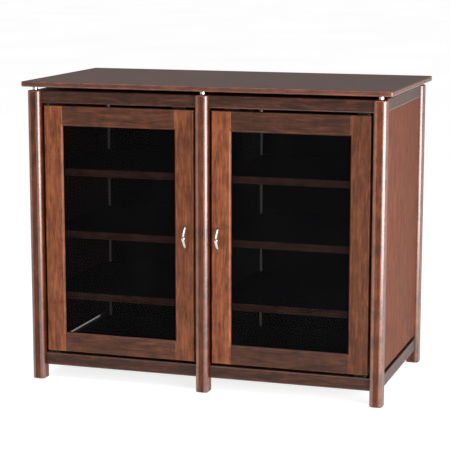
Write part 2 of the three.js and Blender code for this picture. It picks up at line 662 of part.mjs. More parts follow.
// Each door is a group whose origin is on its pivot axis, level with the door's foot.
for (const { name, side } of SIDES) {
  const door = new THREE.Group();
  door.position.set(side * PIVOT_X, PIVOT_Y, DOOR_BOTTOM_Z);
  cabinet.add(door);

  const towardsDoor = -side;
  const centreX = towardsDoor * (DOOR_WIDTH / 2 - PIVOT_INSET);
  const centreZ = DOOR_HEIGHT / 2;
  const { stiles, rails } = doorMembers();
  door.add(node(`${name}_door_hinge_stile`, stiles[side], cherry(), centreX, 0, centreZ));
  door.add(node(`${name}_door_handle_stile`, stiles[-side], cherry(), centreX, 0, centreZ));
  door.add(node(`${name}_door_top_rail`, rails[1], cherry(), centreX, 0, centreZ));
  door.add(node(`${name}_door_bottom_rail`, rails[-1], cherry(), centreX, 0, centreZ));
  door.add(node(`${name}_door_glass`, glassPane(), smokedGlass(), centreX, 0, centreZ));
  door.add(node(`${name}_door_glazing_bead`, glazingBead(), blackVinyl(), centreX, 0, centreZ));

  const handleX = towardsDoor * (DOOR_WIDTH - PIVOT_INSET - HANDLE_INSET);
  door.add(node(`${name}_door_handle`, handle(), nickel(), handleX, -HALF_DOOR, centreZ));

  const upright = doorPivot(towardsDoor);
  const hanging = upright.mirror([0, 0, 1]);
  door.add(node(`${name}_door_upper_pivot`, upright, steel(), 0, 0, DOOR_HEIGHT));
  door.add(node(`${name}_door_lower_pivot`, hanging, steel(), 0, 0, 0));

  const upperPlate = railPivotPlate(towardsDoor);
  const lowerPlate = upperPlate.mirror([0, 0, 1]);
  const x = side * PIVOT_X;
  caseGroup.add(node(`${name}_upper_pivot_plate`, upperPlate, steel(), x, PIVOT_Y, UPPER_RAIL_Z));
  caseGroup.add(node(`${name}_lower_pivot_plate`, lowerPlate, steel(), x, PIVOT_Y, LOWER_RAIL_TOP));
}

export default cabinet;
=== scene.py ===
"""The looks of a two-bay media cabinet in stained cherry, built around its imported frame.

The file follows the cabinet as it is put together: posts, rails and panels, shelves, the
top board on its standoffs, the two glazed doors with their hardware, and then the studio.
Metres, +Z up, the doors face -Y.
"""

import json
import math

import bmesh
import bpy
from mathutils import Matrix, Vector

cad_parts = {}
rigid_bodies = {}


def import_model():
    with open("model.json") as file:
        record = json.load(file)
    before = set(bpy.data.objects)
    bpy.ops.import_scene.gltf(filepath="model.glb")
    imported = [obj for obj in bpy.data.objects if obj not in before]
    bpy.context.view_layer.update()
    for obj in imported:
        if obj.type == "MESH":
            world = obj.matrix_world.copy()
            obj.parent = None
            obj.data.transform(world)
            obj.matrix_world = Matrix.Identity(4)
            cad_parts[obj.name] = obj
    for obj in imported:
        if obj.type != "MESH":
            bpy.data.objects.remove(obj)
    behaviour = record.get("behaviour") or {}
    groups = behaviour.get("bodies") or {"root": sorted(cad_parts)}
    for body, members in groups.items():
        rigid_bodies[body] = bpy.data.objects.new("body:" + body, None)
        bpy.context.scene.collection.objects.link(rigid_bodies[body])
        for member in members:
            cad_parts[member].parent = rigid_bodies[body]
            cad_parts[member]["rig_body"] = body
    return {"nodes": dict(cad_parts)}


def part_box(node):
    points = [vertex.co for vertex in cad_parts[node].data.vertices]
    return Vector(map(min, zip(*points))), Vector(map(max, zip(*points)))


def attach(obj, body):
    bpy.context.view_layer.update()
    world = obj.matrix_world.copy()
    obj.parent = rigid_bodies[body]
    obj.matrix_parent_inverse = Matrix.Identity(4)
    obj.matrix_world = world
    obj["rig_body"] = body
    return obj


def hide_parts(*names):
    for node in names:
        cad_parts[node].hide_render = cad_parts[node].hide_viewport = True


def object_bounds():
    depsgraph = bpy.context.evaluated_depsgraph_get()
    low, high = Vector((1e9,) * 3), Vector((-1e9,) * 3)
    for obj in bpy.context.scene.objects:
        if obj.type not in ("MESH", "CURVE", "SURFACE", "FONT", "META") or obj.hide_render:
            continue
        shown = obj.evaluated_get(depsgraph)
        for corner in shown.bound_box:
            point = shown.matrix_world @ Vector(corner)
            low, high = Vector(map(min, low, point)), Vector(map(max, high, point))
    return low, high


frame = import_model()
cad_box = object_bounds()


# ---- Posts ----
# Six square posts of solid cherry, 40 mm across and full height. Their exposed corners are
# rounded over, their tops and feet are eased, and the rails are tenoned into them. The
# stain is wiped on and lacquered to a soft gloss, and rubs pale on the edges.

class Flow:
    """One output of a material's nodes. Sums and products of these add Math nodes."""

    def __init__(self, tree, socket=None):
        self.tree = tree
        self.socket = socket

    def node(self, kind, settings=None, sockets=None, output=0):
        """Adds a node: its settings first, then the values or links of its sockets."""
        made = self.tree.nodes.new("ShaderNode" + kind)
        for name, value in (settings or {}).items():
            if name == "stops":
                self.colour_stops(made.color_ramp, value)
            else:
                setattr(made, name, value)
        for name, value in (sockets or {}).items():
            if isinstance(value, Flow):
                self.tree.links.new(value.socket, made.inputs[name])
            else:
                made.inputs[name].default_value = value
        return Flow(self.tree, made.outputs[output] if made.outputs else None)

    def colour_stops(self, ramp, stops):
        while len(ramp.elements) < len(stops):
            ramp.elements.new(1.0)
        for element, (position, colour) in zip(ramp.elements, stops):
            element.position = position
            element.color = colour

    def maths(self, operation, first, second):
        return self.node("Math", {"operation": operation}, {0: first, 1: second})

    def __add__(self, other):
        return self.maths("ADD", self, other)

    def __radd__(self, other):
        return self.maths("ADD", other, self)

    def __sub__(self, other):
        return self.maths("SUBTRACT", self, other)

    def __rsub__(self, other):
        return self.maths("SUBTRACT", other, self)

    def __mul__(self, other):
        return self.maths("MULTIPLY", self, other)

    def __rmul__(self, other):
        return self.maths("MULTIPLY", other, self)

    def times(self, x, y, z):
        """A vector scaled on its three axes."""
        return self.node("VectorMath", {"operation": "MULTIPLY"}, {0: self, 1: (x, y, z)})

    def step(self, low, high):
        """0 below low, 1 above high, and a soft step between."""
        settings = {"interpolation_type": "SMOOTHSTEP"}
        return self.node("MapRange", settings, {0: self, 1: low, 2: high, 3: 0.0, 4: 1.0})

    def blend(self, first, second):
        """The first colour where this value is 0 and the second where it is 1."""
        return self.node("Mix", {"data_type": "RGBA"}, {0: self, 6: first, 7: second}, output=2)

    def noise(self, scale, detail=2.0, roughness=0.5, distortion=0.0, output=0):
        """Cloudy noise over this place, with its scale in features a metre."""
        sockets = {"Vector": self, "Scale": scale, "Detail": detail}
        sockets.update({"Roughness": roughness, "Distortion": distortion})
        return self.node("TexNoise", {}, sockets, output)


def stain(red, green, blue):
    """A colour mixed on the 0 to 255 scale, as the shaders' linear light."""
    def light(value):
        share = value / 255
        return share / 12.92 if share <= 0.04045 else ((share + 0.055) / 1.055) ** 2.4
    return (light(red), light(green), light(blue), 1.0)


def blank_finish(name):
    """An empty material, and the flow that its nodes are added through."""
    material = bpy.data.materials.new(name)
    material.use_nodes = True
    material.node_tree.nodes.clear()
    return material, Flow(material.node_tree)


def lay_on(flow, sockets):
    """Closes a finish with its shader and output."""
    shader = flow.node("BsdfPrincipled", {}, sockets)
    flow.node("OutputMaterial", {}, {"Surface": shader})


ALONG = {"x": (0.11, 1, 1), "y": (1, 0.11, 1), "z": (1, 1, 0.11)}


def shaded(colour, shade):
    """A colour made lighter or darker, with its alpha left alone."""
    return tuple(min(1.0, shade * part) for part in colour[:3]) + (1.0,)


def cherry(name, grain, deep, warm, pale, gloss=0.40, shade=1.0, sheen_level=0.25, burnish=0.1):
    """Stained cherry with its grain along one axis: drifting figure, blotchy stain, fine
    pores that catch in the lacquer, and rounded edges that are rubbed pale and burnished."""
    material, flow = blank_finish(name)
    deep, warm, pale = (shaded(colour, shade) for colour in (deep, warm, pale))
    place = flow.node("TexCoord", output="Object")
    drift = place.noise(3.3, detail=2.0, output=1)
    sway = {0: drift, 1: (0.04,) * 3, 2: place}
    bent = flow.node("VectorMath", {"operation": "MULTIPLY_ADD"}, sway)
    lengthwise = bent.times(*ALONG[grain])
    figure = lengthwise.noise(95.0, detail=5.0, roughness=0.66, distortion=0.6)
    lines = lengthwise.times(*ALONG[grain]).noise(330.0, detail=3.0, roughness=0.7)
    pores = lengthwise.noise(900.0, detail=1.0, roughness=0.5).step(0.60, 0.74)
    blotch = place.noise(26.0, detail=5.0, roughness=0.66)
    tone = figure * 0.66 + lines * 0.34 + blotch * 0.34 - 0.17
    colour = flow.node("ValToRGB", {"stops": [(0.38, deep), (0.5, warm), (0.64, pale)]}, {0: tone})
    colour = (pores * 0.35).blend(colour, deep)
    rounded = flow.node("Attribute", {"attribute_name": "worn_edge"}, output="Fac")
    rubbed = rounded * blotch.step(0.36, 0.62)
    colour = (rubbed * 0.5).blend(colour, shaded(pale, 1.45))
    roughness = (lines - 0.5) * 0.14 + (blotch - 0.5) * 0.16 + pores * 0.08 + gloss
    height = figure * 0.4 + lines * 0.5 - pores * 0.6
    relief = flow.node("Bump", {}, {"Strength": 0.16, "Distance": 0.0005, "Height": height})
    lay_on(flow, {
        "Base Color": colour,
        "Roughness": roughness - rubbed * 0.06,
        "Normal": relief,
        "Coat Weight": rounded * burnish,
        "Coat Roughness": 0.26,
        "Coat IOR": 1.75,
        "Specular IOR Level": sheen_level,
    })
    return material


def finished(shape, name, materials, body, nodes=()):
    """Turns a mesh in the making into a piece with crisp flats and smooth roundings, puts
    it on its body, and hides the plain solids that it stands for."""
    data = bpy.data.meshes.new(name)
    for face in shape.faces:
        face.smooth = True
    bmesh.ops.recalc_face_normals(shape, faces=shape.faces)
    shape.to_mesh(data)
    shape.free()
    data.set_sharp_from_angle(angle=math.radians(38))
    for material in materials if isinstance(materials, list) else [materials]:
        data.materials.append(material)
    piece = bpy.data.objects.new(name, data)
    bpy.context.scene.collection.objects.link(piece)
    even = piece.modifiers.new("even_shading", "WEIGHTED_NORMAL")
    even.keep_sharp = True
    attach(piece, body)
    if nodes:
        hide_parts(*nodes)
    return piece


def round_over(shape, edges, radius, facets):
    """Rounds edges over and marks the new faces as the ones that wear."""
    worn = shape.faces.layers.float.get("worn_edge") or shape.faces.layers.float.new("worn_edge")
    made = bmesh.ops.bevel(
        shape, geom=edges, offset=radius, offset_type="OFFSET", segments=facets,
        profile=0.5, affect="EDGES", clamp_overlap=True,
    )
    for face in made["faces"]:
        face[worn] = 1.0


def board(low, high):
    """A mesh in the making with a square-edged blank between two corners."""
    shape = bmesh.new()
    size = Vector(high) - Vector(low)
    centre = (Vector(high) + Vector(low)) / 2
    placed = Matrix.Translation(centre) @ Matrix.Diagonal((*size, 1.0))
    bmesh.ops.create_cube(shape, size=1.0, matrix=placed)
    return shape


def round_ends(shape, low, high, radius, facets):
    """Rounds over the whole rim of the lowest and the highest face."""
    for level in (low, high):
        rim = [
            edge for edge in shape.edges
            if all(abs(vert.co.z - level) < 1e-6 for vert in edge.verts)
        ]
        round_over(shape, rim, radius, facets)


POST_ROUND = 0.012
POST_EASE = 0.004
POST_END_EASE = 0.003
TENON_THICK = 0.008
TENON_SHOULDER = 0.006
FIT_GAP = 0.0003
X, Y = 0, 1


def pocket(node, cheek=None):
    """The space that a neighbour's end takes in a post. A rail has a tenon, thinner than
    the rail across its cheek axis and set in at its shoulders, and a panel has none."""
    low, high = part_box(node)
    if cheek is not None:
        middle = (low[cheek] + high[cheek]) / 2
        low[cheek] = middle - TENON_THICK / 2
        high[cheek] = middle + TENON_THICK / 2
        low.z += TENON_SHOULDER
        high.z -= TENON_SHOULDER
    gap = Vector((FIT_GAP,) * 3)
    return low - gap, high + gap


def cut_out(shape, pockets):
    """Cuts box-shaped pockets out of a mesh in the making and gives the result."""
    blank = bpy.data.objects.new("blank", bpy.data.meshes.new("blank"))
    shape.to_mesh(blank.data)
    shape.free()
    bpy.context.scene.collection.objects.link(blank)
    cutters = []
    for low, high in pockets:
        cutter = bpy.data.objects.new("cutter", bpy.data.meshes.new("cutter"))
        hole = board(low, high)
        hole.to_mesh(cutter.data)
        hole.free()
        bpy.context.scene.collection.objects.link(cutter)
        cut = blank.modifiers.new("pocket", "BOOLEAN")
        cut.object = cutter
        cut.solver = "EXACT"
        cutters.append(cutter)
    bpy.context.view_layer.update()
    result = bmesh.new()
    result.from_object(blank, bpy.context.evaluated_depsgraph_get())
    for tool in (blank, *cutters):
        bpy.data.objects.remove(tool)
    return result


post_cherry = cherry(
    "post_cherry", "z", stain(60, 25, 9), stain(84, 38, 16), stain(106, 55, 28),
    gloss=0.36, burnish=1.0,
)

for row, front_back in (("front", -1), ("rear", 1)):
    for column, across in (("left", -1), ("centre", 0), ("right", 1)):
        node = f"post_{row}_{column}"
        low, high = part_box(node)
        post = board(low, high)
        middle = (low + high) / 2

        def exposed(edge):
            corner = edge.verts[0].co - middle
            outer_face = corner.y * front_back > 0
            outer_side = corner.x * across > 0
            return outer_face or outer_side

        uprights = [e for e in post.edges if abs(e.verts[0].co.z - e.verts[1].co.z) > POST_ROUND]
        round_over(post, [e for e in uprights if exposed(e)], POST_ROUND, 10)
        uprights = [
            e for e in post.edges
            if abs(e.verts[0].co.z - e.verts[1].co.z) > POST_ROUND
            and e.calc_face_angle(0.0) > math.radians(45)
        ]
        round_over(post, uprights, POST_EASE, 5)
        round_ends(post, low.z, high.z, POST_END_EASE, 4)

        pockets = []
        for side in ("left", "right"):
            if column in (side, "centre"):
                pockets.append(pocket(f"rail_{row}_lower_{side}", cheek=Y))
                pockets.append(pocket(f"rail_{row}_upper_{side}", cheek=Y))
        if column == "centre":
            pockets.append(pocket("partition"))
        else:
            pockets.append(pocket(f"rail_side_lower_{column}", cheek=X))
            pockets.append(pocket(f"rail_side_upper_{column}", cheek=X))
            pockets.append(pocket(f"side_panel_{column}"))
        post = cut_out(post, pockets)
        finished(post, f"{row}_{column}_post", post_cherry, "case", [node])


# ---- Rails ----
# Tenoned cherry rails join the posts at the top and the bottom on all four sides. They are
# planed all round and their arrises are taken off with a fine sanding block.

def planed(node, radius):
    """A CAD node's own mesh with its flat faces whole again and its arrises rounded."""
    shape = bmesh.new()
    shape.from_mesh(frame["nodes"][node].data)
    bmesh.ops.remove_doubles(shape, verts=shape.verts, dist=1e-6)
    bmesh.ops.dissolve_limit(
        shape, angle_limit=math.radians(1), verts=shape.verts, edges=shape.edges,
    )
    arrises = [
        edge for edge in shape.edges
        if edge.is_manifold and edge.is_convex and edge.calc_face_angle() > math.radians(30)
    ]
    round_over(shape, arrises, radius, 3)
    return shape


def body_of(node):
    return frame["nodes"][node]["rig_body"]


ARRIS = 0.0009

rail_tones = (stain(36, 17, 10), stain(56, 28, 17), stain(80, 44, 28))
rail_cherry_x = cherry("rail_cherry_crosswise", "x", *rail_tones, burnish=0.8)
rail_cherry_y = cherry("rail_cherry_front_to_back", "y", *rail_tones, burnish=0.8)

for level in ("lower", "upper"):
    for side in ("left", "right"):
        for place, wood in (("front", rail_cherry_x), ("rear", rail_cherry_x), ("side", rail_cherry_y)):
            node = f"rail_{place}_{level}_{side}"
            rail = planed(node, ARRIS)
            finished(rail, f"{place}_{level}_rail_{side}", wood, "case", [node])


# ---- Side panels, partition, back panels, and the case's bottom and top ----
# Cherry-veneered boards. The side panels and partition sit in grooves in the posts, and the
# back panels in the rear rails. The inside faces are stained darker and lacquered thinner, and
# their colour is darkened much further as painted shade for the shadowed inside of the case.

BOARD_ARRIS = 0.0006

panel_cherry = cherry(
    "side_panel_cherry", "z", stain(80, 42, 28), stain(98, 54, 37), stain(116, 67, 48),
    gloss=0.42, sheen_level=0.015,
)
# The inside tones are the dark inside stain made nearly black as painted shade, for the shade that fills
# the case behind the glass.
inside_stain_and_shade_tones = (stain(24, 16, 13), stain(36, 24, 19), stain(52, 35, 28))
inside_stain_and_shade_upright = cherry("inside_cherry_and_painted_shade_upright", "z", *inside_stain_and_shade_tones, gloss=0.5, sheen_level=0.12)
inside_stain_and_shade_across = cherry("inside_cherry_and_painted_shade_across", "x", *inside_stain_and_shade_tones, gloss=0.5, sheen_level=0.12)

for side in ("left", "right"):
    panel = planed(f"side_panel_{side}", BOARD_ARRIS)
    finished(panel, f"{side}_side_panel", panel_cherry, "case", [f"side_panel_{side}"])
    back = planed(f"back_panel_{side}", BOARD_ARRIS)
    finished(back, f"{side}_back_panel", inside_stain_and_shade_upright, "case", [f"back_panel_{side}"])

divider = planed("partition", BOARD_ARRIS)
finished(divider, "centre_partition", inside_stain_and_shade_upright, "case", ["partition"])
for node, name in (("case_bottom", "bottom_board"), ("case_top", "inner_top_board")):
    deck = planed(node, BOARD_ARRIS)
    finished(deck, name, inside_stain_and_shade_across, "case", [node])


# ---- Shelves and their pins ----
# Six loose boards with solid cherry front edges. Each lies on four turned steel pins that
# push into rows of holes in the side panel and the partition.

# The shelves' front edges are painted far paler than the case's other cherry: their own cherry colour
# with painted light from the glass in front laid over it.
shelf_edge_cherry_and_painted_light = cherry(
    "shelf_edge_cherry_and_painted_light", "x", stain(128, 80, 68), stain(168, 112, 98), stain(196, 140, 126), gloss=0.42,
)


def metal(name, grey, bright, stretch, roughness, streaks=2400.0):
    """Metal with fine brushing along one axis: streaks in its colour, sheen and surface."""
    material, flow = blank_finish(name)
    place = flow.node("TexCoord", output="Object")
    brushed = place.times(*stretch).noise(streaks, detail=2.0, roughness=0.6)
    handled = place.noise(60.0, detail=3.0)
    colour = (brushed * 0.6 + handled * 0.4).blend(grey, bright)
    worn = flow.node("Attribute", {"attribute_name": "worn_edge"}, output="Fac")
    colour = (worn * 0.4).blend(colour, bright)
    height = brushed * 0.6 + handled * 0.4
    relief = flow.node("Bump", {}, {"Strength": 0.12, "Distance": 0.0002, "Height": height})
    lay_on(flow, {
        "Base Color": colour,
        "Metallic": 1.0,
        "Roughness": (brushed - 0.5) * 0.16 + (handled - 0.5) * 0.12 + roughness,
        "Normal": relief,
    })
    return material


def turned(shape, profile, centre, axis, sides=36):
    """Adds a solid turned about an axis. The profile is (radius, height) from one end to
    the other, and a radius may be a function of the angle, as for a driver's recess."""
    aim = Matrix.Translation(Vector(centre)) @ Vector(axis).to_track_quat("Z", "Y").to_matrix().to_4x4()
    rings = []
    for radius, height in profile:
        ring = []
        for i in range(sides):
            angle = 2 * math.pi * i / sides
            reach = radius(angle) if callable(radius) else radius
            at = Vector((reach * math.cos(angle), reach * math.sin(angle), height))
            ring.append(shape.verts.new(aim @ at))
        rings.append(ring)
    shape.faces.new(list(reversed(rings[0])))
    for lower, upper in zip(rings, rings[1:]):
        for i in range(sides):
            j = (i + 1) % sides
            shape.faces.new((lower[i], lower[j], upper[j], upper[i]))
    shape.faces.new(rings[-1])


SHELF_FRONT = 0.004
PIN_RADIUS = 0.0025
PIN_COLLAR = 0.004
PIN_COLLAR_EASE = 0.0004
PIN_COLLAR_RIM = 0.0009
PIN_COLLAR_THICK = 0.0012
PIN_WALL_GAP = 0.0001
PIN_REACH = 0.009
PIN_END_EASE = 0.0008
PIN_FROM_EDGE = 0.062

pin_steel = metal("shelf_pin_steel", stain(120, 118, 115), stain(190, 188, 184), (1, 1, 1), 0.36)
pins = bmesh.new()

for side in ("left", "right"):
    for level in ("lower", "middle", "upper"):
        node = f"shelf_{side}_{level}"
        shelf = planed(node, ARRIS)
        low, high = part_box(node)
        for face in shelf.faces:
            in_front_edge = face.calc_center_median().y < low.y + SHELF_FRONT
            face.material_index = 1 if in_front_edge else 0
        layers = [inside_stain_and_shade_across, shelf_edge_cherry_and_painted_light]
        finished(shelf, f"{side}_{level}_shelf", layers, "case", [node])

        walls = [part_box("partition"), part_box(f"side_panel_{side}")]
        walls.sort(key=lambda wall: wall[0].x)
        pin_z = low.z - PIN_RADIUS - FIT_GAP
        for pin_y in (low.y + PIN_FROM_EDGE, high.y - PIN_FROM_EDGE):
            for wall_x, inward in ((walls[0][1].x, 1), (walls[1][0].x, -1)):
                profile = [
                    (PIN_COLLAR - PIN_COLLAR_EASE, PIN_WALL_GAP),
                    (PIN_COLLAR, PIN_COLLAR_EASE), (PIN_COLLAR, PIN_COLLAR_RIM),
                    (PIN_COLLAR - PIN_COLLAR_EASE, PIN_COLLAR_THICK),
                    (PIN_RADIUS, PIN_COLLAR_THICK), (PIN_RADIUS, PIN_REACH - PIN_END_EASE),
                    (PIN_RADIUS - PIN_END_EASE, PIN_REACH),
                ]
                # The collar would touch the shelf, so the pin stands a collar's edge lower.
                at = (wall_x, pin_y, pin_z - (PIN_COLLAR - PIN_RADIUS))
                turned(pins, profile, at, (inward, 0, 0))

finished(pins, "shelf_pins", pin_steel, "case")


# ---- Top board and its standoffs ----
# A cherry board that floats above the case on six turned nickel standoffs, one over each
# post, so that warm air leaves through the gap. Its rim is rounded top and bottom.

TOP_CORNER = 0.008
TOP_ROUND = 0.004

top_cherry = cherry(
    "top_board_cherry", "x", stain(62, 28, 16), stain(83, 41, 26), stain(105, 58, 39),
    gloss=0.36, sheen_level=0.5,
)
low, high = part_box("top_panel")
top = board(low, high)
corners = [e for e in top.edges if abs(e.verts[0].co.z - e.verts[1].co.z) > TOP_ROUND]
round_over(top, corners, TOP_CORNER, 8)
round_ends(top, low.z, high.z, TOP_ROUND, 5)
finished(top, "top_board", top_cherry, "case", ["top_panel"])

STANDOFF_EASE = 0.001
STANDOFF_GROOVE = 0.0006

standoff_nickel = metal("standoff_nickel", stain(150, 146, 142), stain(226, 222, 216), (1, 1, 9), 0.24)
for row in ("front", "rear"):
    for column in ("left", "centre", "right"):
        node = f"standoff_{row}_{column}"
        low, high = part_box(node)
        radius = (high.x - low.x) / 2
        tall = high.z - low.z
        ease = STANDOFF_EASE
        groove = STANDOFF_GROOVE
        profile = [
            (radius - ease, 0), (radius - 0.3 * ease, 0.3 * ease), (radius, ease),
            (radius, tall * 0.2), (radius - groove, tall * 0.2 + groove),
            (radius - groove, tall * 0.8 - groove), (radius, tall * 0.8),
            (radius, tall - ease), (radius - 0.3 * ease, tall - 0.3 * ease), (radius - ease, tall),
        ]
        collar = bmesh.new()
        foot = ((low.x + high.x) / 2, (low.y + high.y) / 2, low.z)
        turned(collar, profile, foot, (0, 0, 1), sides=64)
        finished(collar, f"{row}_{column}_standoff", standoff_nickel, "case", [node])


# ---- Door frames ----
# Each door is a mortised cherry frame with chamfered edges: stiles run the full height with
# upright grain, and the top and bottom rails lie between them with their grain across.

STILE_TONES = (stain(88, 42, 19), stain(121, 64, 35), stain(152, 88, 54))
DOOR_RAIL_TONES = (stain(50, 25, 14), stain(73, 39, 23), stain(98, 56, 36))
# No two boards take the stain alike, so each member has a shade of its own.
BOARD_SHADES = {
    "left_hinge_stile": 0.88, "left_handle_stile": 0.68,
    "right_handle_stile": 0.84, "right_hinge_stile": 0.46,
    "left_top_rail": 1.0, "left_bottom_rail": 0.98,
    "right_top_rail": 0.66, "right_bottom_rail": 0.66,
}

for name, shade in BOARD_SHADES.items():
    side, member = name.split("_", 1)
    upright = member.endswith("stile")
    tones = STILE_TONES if upright else DOOR_RAIL_TONES
    wood = cherry(f"{name}_cherry", "z" if upright else "x", *tones, shade=shade)
    node = f"{side}_door_{member}"
    part = planed(node, ARRIS)
    finished(part, name, wood, body_of(node), [node])


# ---- Glass and glazing beads ----
# A pane of 4 mm smoked glass lies in each door's rebate, held by a black vinyl bead that is
# pressed in behind it. The glass is polished, with a faint film of wiping marks.

def smoked_glass():
    material, flow = blank_finish("smoked_glass")
    place = flow.node("TexCoord", output="Object")
    wiped = place.times(1, 1, 0.35).noise(14.0, detail=5.0, roughness=0.65, distortion=0.8)
    lay_on(flow, {
        "Base Color": wiped.step(0.4, 0.8).blend(stain(4, 4, 5), stain(12, 11, 12)),
        "Roughness": wiped.step(0.5, 0.75) * 0.05 + 0.02,
        "Alpha": wiped.step(0.5, 0.8) * 0.03 + 0.58,
        "Specular IOR Level": 0.03,
    })
    material.surface_render_method = "BLENDED"
    return material


def black_vinyl():
    material, flow = blank_finish("black_vinyl")
    place = flow.node("TexCoord", output="Object")
    grained = place.noise(1800.0, detail=2.0)
    dusty = place.noise(40.0, detail=4.0)
    relief = flow.node("Bump", {}, {"Strength": 0.2, "Distance": 0.0002, "Height": grained})
    lay_on(flow, {
        "Base Color": dusty.step(0.4, 0.7).blend(stain(20, 19, 19), stain(38, 36, 35)),
        "Roughness": grained * 0.15 + 0.5,
        "Normal": relief,
    })
    return material


pane_glass = smoked_glass()
bead_vinyl = black_vinyl()
for side in ("left", "right"):
    pane = frame["nodes"][f"{side}_door_glass"]
    pane.data.materials.clear()
    pane.data.materials.append(pane_glass)
    node = f"{side}_door_glazing_bead"
    bead = planed(node, BOARD_ARRIS)
    finished(bead, f"{side}_glazing_bead", bead_vinyl, body_of(node), [node])


# ---- Handles ----
# A bent bar pull in brushed nickel on each door's free stile, with an oval section. Two
# machine screws come through the stile from behind and hold it.

HANDLE_STEPS = 72
SECTION_SIDES = 28
HANDLE_HALF_THICK = 0.00272
HANDLE_SIDE_CLEARANCE = 0.00005
HANDLE_END_CLEARANCE = 0.0001
HANDLE_FOOT_SHARE = 0.35
HANDLE_BEND = 0.12
HANDLE_CORNER_POWER = 8

handle_nickel = metal("handle_nickel", stain(160, 155, 148), stain(236, 230, 222), (1, 1, 0.05), 0.22)


def stand_off(place):
    """How far the bar stands off the door, as a share of its reach, from foot to foot."""
    bend = HANDLE_BEND
    slope = (math.hypot(place, bend) - bend) / (math.hypot(1, bend) - bend)
    foot = max(0.0, 1 - abs(place) ** HANDLE_CORNER_POWER) ** (1 / 3)
    return (1 - (1 - HANDLE_FOOT_SHARE) * slope) * foot


def bent_bar(node):
    """Two nearly straight arms meet in a soft bend, and both feet meet the door squarely."""
    low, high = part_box(node)
    centre = (low + high) / 2
    half_width = (high.x - low.x) / 2 - HANDLE_SIDE_CLEARANCE
    half_span = (high.z - low.z) / 2 - HANDLE_HALF_THICK - HANDLE_END_CLEARANCE
    reach = high.y - low.y - HANDLE_HALF_THICK - HANDLE_END_CLEARANCE
    shape = bmesh.new()
    rings = []

    def on_bar(step):
        place = -math.cos(math.pi * step / HANDLE_STEPS)
        return Vector((centre.x, high.y - reach * stand_off(place), centre.z + half_span * place))

    for i in range(HANDLE_STEPS + 1):
        at = on_bar(i)
        if i == 0:
            tangent = Vector((0, -1, 0))
        elif i == HANDLE_STEPS:
            tangent = Vector((0, 1, 0))
        else:
            tangent = (on_bar(i + 1) - on_bar(i - 1)).normalized()
        outward = tangent.cross(Vector((1, 0, 0))).normalized()
        ring = []
        for j in range(SECTION_SIDES):
            turn = 2 * math.pi * j / SECTION_SIDES
            sideways = Vector((half_width * math.cos(turn), 0, 0))
            offset = sideways + outward * HANDLE_HALF_THICK * math.sin(turn)
            ring.append(shape.verts.new(at + offset))
        rings.append(ring)
    shape.faces.new(list(reversed(rings[0])))
    for lower, upper in zip(rings, rings[1:]):
        for j in range(SECTION_SIDES):
            k = (j + 1) % SECTION_SIDES
            shape.faces.new((lower[j], lower[k], upper[k], upper[j]))
    shape.faces.new(rings[-1])
    return shape, centre, half_span


def cross_recess(size):
    """The outline of a cross-head driver's recess, as a radius for each angle."""
    def radius(angle):
        from_arm = abs((angle + math.pi / 4) % (math.pi / 2) - math.pi / 4)
        return size if from_arm < math.radians(20) else size * 0.42
    return radius


def screw(shape, at, axis, radius, proud):
    """A pan-headed screw whose head stands proud of the surface at a point."""
    recess = cross_recess(radius * 0.56)
    tip = cross_recess(radius * 0.3)
    turned(shape, [
        (radius, 0.00005), (radius, proud * 0.45), (radius * 0.94, proud * 0.75),
        (radius * 0.78, proud * 0.94), (radius * 0.62, proud), (recess, proud),
        (tip, proud * 0.25),
    ], at, axis, sides=48)


HANDLE_SCREW = 0.0042
HANDLE_SCREW_PROUD = 0.0022

screw_zinc = metal("screw_zinc", stain(90, 88, 84), stain(150, 147, 140), (1, 1, 1), 0.34, streaks=900.0)
for side in ("left", "right"):
    node = f"{side}_door_handle"
    shape, centre, half_span = bent_bar(node)
    finished(shape, f"{side}_handle_bow", handle_nickel, body_of(node), [node])
    door_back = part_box(f"{side}_door_handle_stile")[1].y
    screws = bmesh.new()
    for end in (-1, 1):
        at = (centre.x, door_back, centre.z + end * half_span)
        screw(screws, at, (0, 1, 0), HANDLE_SCREW, HANDLE_SCREW_PROUD)
    finished(screws, f"{side}_handle_screws", screw_zinc, body_of(node))


# ---- Pivots ----
# Each door turns on two steel pins, one in each end of its hinge stile. The pin stands on a
# collar and a plate screwed to the door, and turns in a plate screwed to the case's rail.

PLATE_ARRIS = 0.0003
PLATE_SCREW = 0.0032
PLATE_SCREW_PROUD = 0.0004
SCREW_FROM_END = 0.007
SCREW_PITCH = 0.011
DOOR_PLATE_THICK = 0.002

pivot_steel = metal("pivot_steel", stain(30, 29, 28), stain(58, 56, 54), (0.08, 1, 1), 0.42)
for side, towards_door in (("left", 1), ("right", -1)):
    for end in ("upper", "lower"):
        up = 1 if end == "upper" else -1
        for node, name, faces in (
            (f"{side}_door_{end}_pivot", f"{side}_{end}_door_pivot", up),
            (f"{side}_{end}_pivot_plate", f"{side}_{end}_rail_plate", -up),
        ):
            shape = planed(node, PLATE_ARRIS)
            finished(shape, name, pivot_steel, body_of(node), [node])
            low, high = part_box(node)
            middle_y = (low.y + high.y) / 2
            far_end = high.x if towards_door > 0 else low.x
            plate_face = low.z if up > 0 else high.z
            if node.endswith("pivot"):
                plate_face += up * DOOR_PLATE_THICK
            screws = bmesh.new()
            for from_far in (SCREW_FROM_END, SCREW_FROM_END + SCREW_PITCH):
                at = (far_end - towards_door * from_far, middle_y, plate_face)
                screw(screws, at, (0, 0, faces), PLATE_SCREW, PLATE_SCREW_PROUD)
            finished(screws, f"{name}_screws", screw_zinc, body_of(node))


# ---- Catches ----
# A magnetic catch under the case's top holds each door shut: a black housing with two steel
# pole plates, and a steel strike screwed to the back of the door.

